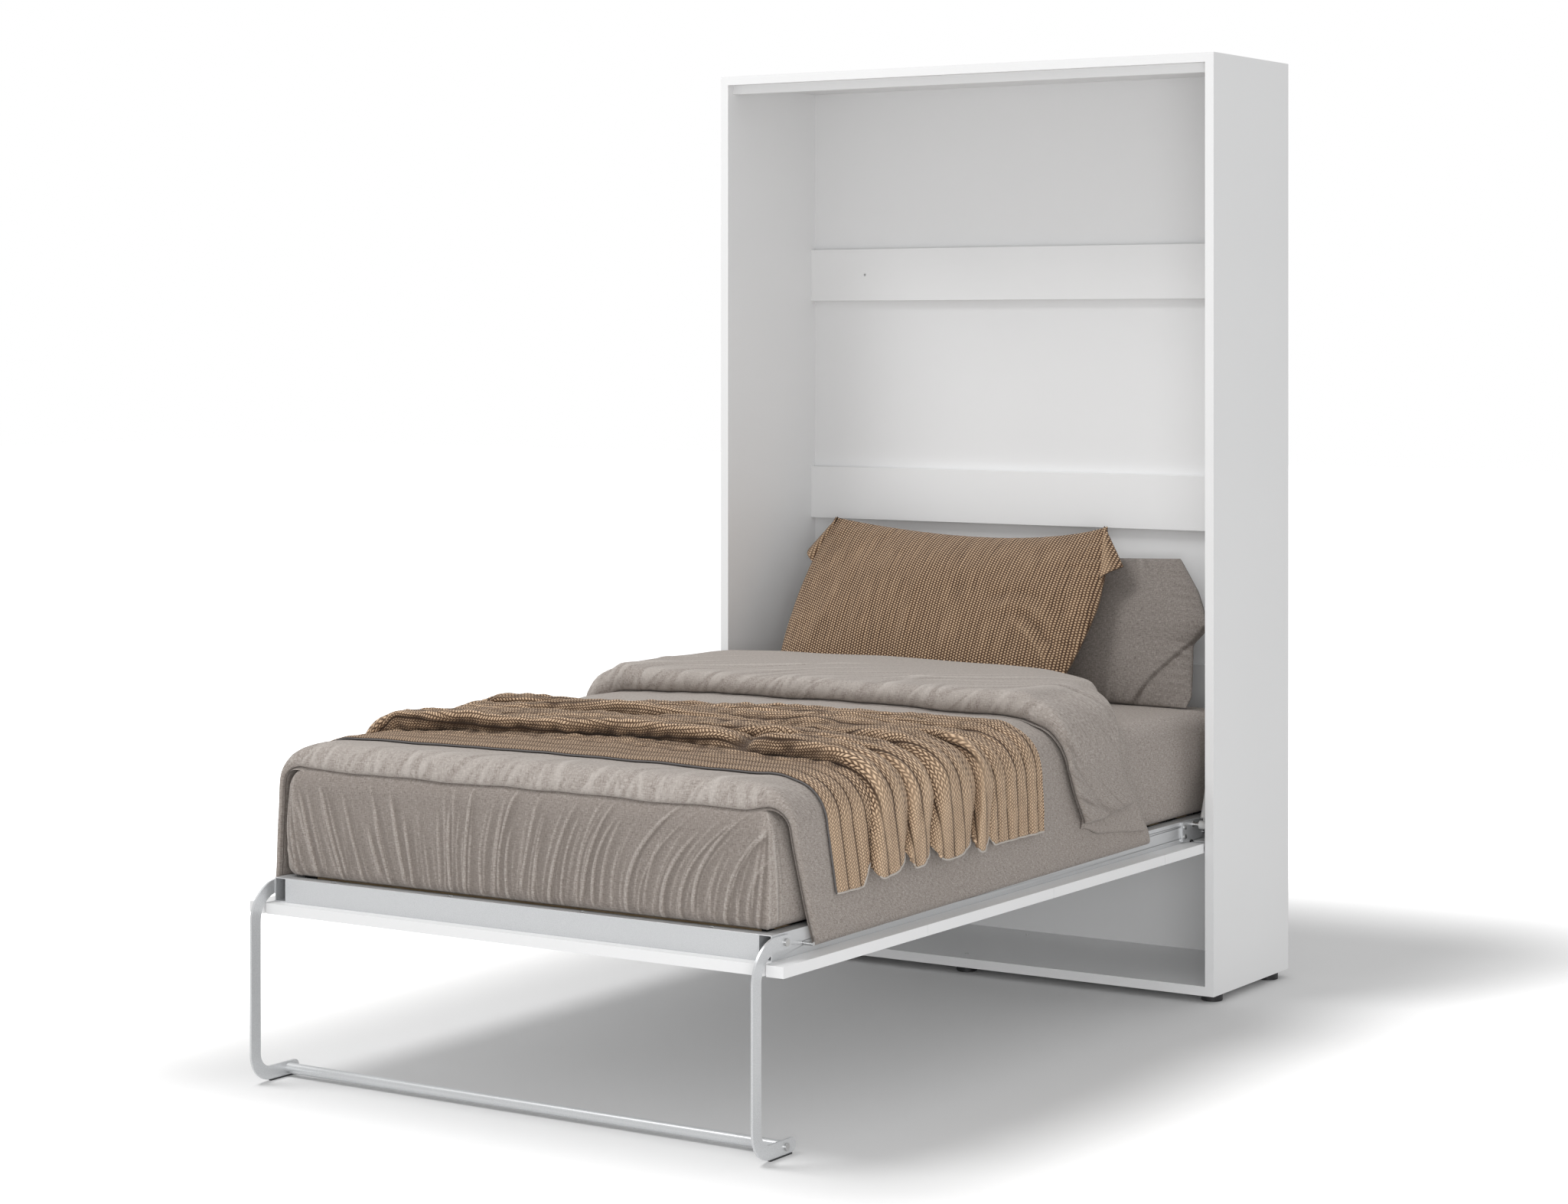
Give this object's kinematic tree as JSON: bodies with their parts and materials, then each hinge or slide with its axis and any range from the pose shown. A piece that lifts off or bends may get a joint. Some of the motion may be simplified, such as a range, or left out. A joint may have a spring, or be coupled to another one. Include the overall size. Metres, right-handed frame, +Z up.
{
  "type": "wall bed",
  "caption": "Upright wall bed shown open: tall white cabinet, swing-down bed on a steel frame with a folding leg, mattress, duvet, knitted throw and pillows.",
  "frame": {"origin": "on the floor, at the middle of the whole object's footprint", "axes": "+X to the right seen from the foot end, +Y towards the wall behind the cabinet, +Z up"},
  "size_m": [1.375, 2.243, 2.203],
  "materials": {
    "white_board": "satin white melamine on chipboard",
    "back_board": "thin white lacquered board",
    "silver_paint": "silver grey powder coat",
    "spring_paint": "light grey lacquer",
    "rod_steel": "polished",
    "zinc": "zinc plated",
    "black_plastic": "fine grain",
    "birch": "clear lacquer",
    "mattress_ticking": "knitted ticking",
    "linen_cloth": "washed linen, warm grey",
    "brown_knit": "chunky ribbed knit",
    "brown_weave": "coarse two tone weave"
  },
  "bodies": {
    "cabinet": {"side_panel_left": "white_board", "side_panel_right": "white_board", "top_panel": "white_board", "bottom_panel": "white_board", "back_panel": "back_board", "stop_strip": "white_board", "back_rail_lower": "white_board", "back_rail_middle": "white_board", "back_rail_upper": "white_board", "cabinet_dowels": "birch", "cabinet_screws": "zinc", "back_screws": "zinc", "cabinet_feet": "black_plastic", "foot_screws": "zinc", "hinge_plate_left": "silver_paint", "hinge_plate_right": "silver_paint", "hinge_screws": "zinc", "spring_clips": "zinc"},
    "bed": {"deck_panel_1": "white_board", "deck_panel_2": "white_board", "deck_panel_3": "white_board", "deck_panel_4": "white_board", "deck_screws": "zinc", "side_rail_left": "silver_paint", "side_rail_right": "silver_paint", "foot_rail": "silver_paint", "head_rail": "silver_paint", "middle_rails": "silver_paint", "slats": "birch", "slat_holders": "black_plastic", "hinge_arm_left": "silver_paint", "hinge_arm_right": "silver_paint", "arm_bolts": "zinc", "pivot_bush_left": "black_plastic", "pivot_bush_right": "black_plastic", "spring_pins": "zinc", "leg_bolts": "zinc", "stop_pins": "zinc", "mattress": "mattress_ticking", "fitted_sheet": "linen_cloth", "duvet": "linen_cloth", "throw": "brown_knit", "front_pillow": "brown_weave", "rear_pillow": "linen_cloth"},
    "leg": {"leg_strap_left": "silver_paint", "leg_strap_right": "silver_paint", "leg_crossbar": "silver_paint", "crossbar_screws": "zinc", "foot_pads": "black_plastic"},
    "spring_rod_left": {"gas_rod_left": "rod_steel"},
    "spring_rod_right": {"gas_rod_right": "rod_steel"},
    "spring_cylinder_left": {"gas_cylinder_left": "spring_paint"},
    "spring_cylinder_right": {"gas_cylinder_right": "spring_paint"}
  },
  "joints": [
    {"name": "bed_tilt", "type": "hinge", "parent": "cabinet", "child": "bed", "pos_m": [0, 0.7235, 0.365], "axis": [-1, 0, 0], "range_deg": [0, 90], "deforming": ["duvet", "throw", "front_pillow", "rear_pillow"]},
    {"name": "leg_fold", "type": "hinge", "parent": "bed", "child": "leg", "pos_m": [0, -1.0085, 0.403], "axis": [1, 0, 0], "range_deg": [0, 74]},
    {"name": "spring_swing_left", "type": "hinge", "parent": "cabinet", "child": "spring_rod_left", "pos_m": [0, 0.8415, 0.69], "axis": [1, 0, 0], "range_deg": [0, 8.8]},
    {"name": "spring_slide_left", "type": "slide", "parent": "spring_rod_left", "child": "spring_cylinder_left", "axis": [0, -0.3599, -0.933], "range_m": [0, 0.04276]},
    {"name": "spring_swing_right", "type": "hinge", "parent": "cabinet", "child": "spring_rod_right", "pos_m": [0, 0.8415, 0.69], "axis": [1, 0, 0], "range_deg": [0, 8.8]},
    {"name": "spring_slide_right", "type": "slide", "parent": "spring_rod_right", "child": "spring_cylinder_right", "axis": [0, -0.3599, -0.933], "range_m": [0, 0.04276]}
  ],
  "couplings": [
    {"joint": "leg_fold", "follows": "bed_tilt", "ratio": 0.82222},
    {"joint": "spring_swing_left", "follows": "bed_tilt", "ratio": 0.097768},
    {"joint": "spring_slide_left", "follows": "bed_tilt", "m_per_rad": 0.027218},
    {"joint": "spring_swing_right", "follows": "bed_tilt", "ratio": 0.097768},
    {"joint": "spring_slide_right", "follows": "bed_tilt", "m_per_rad": 0.027218}
  ]
}
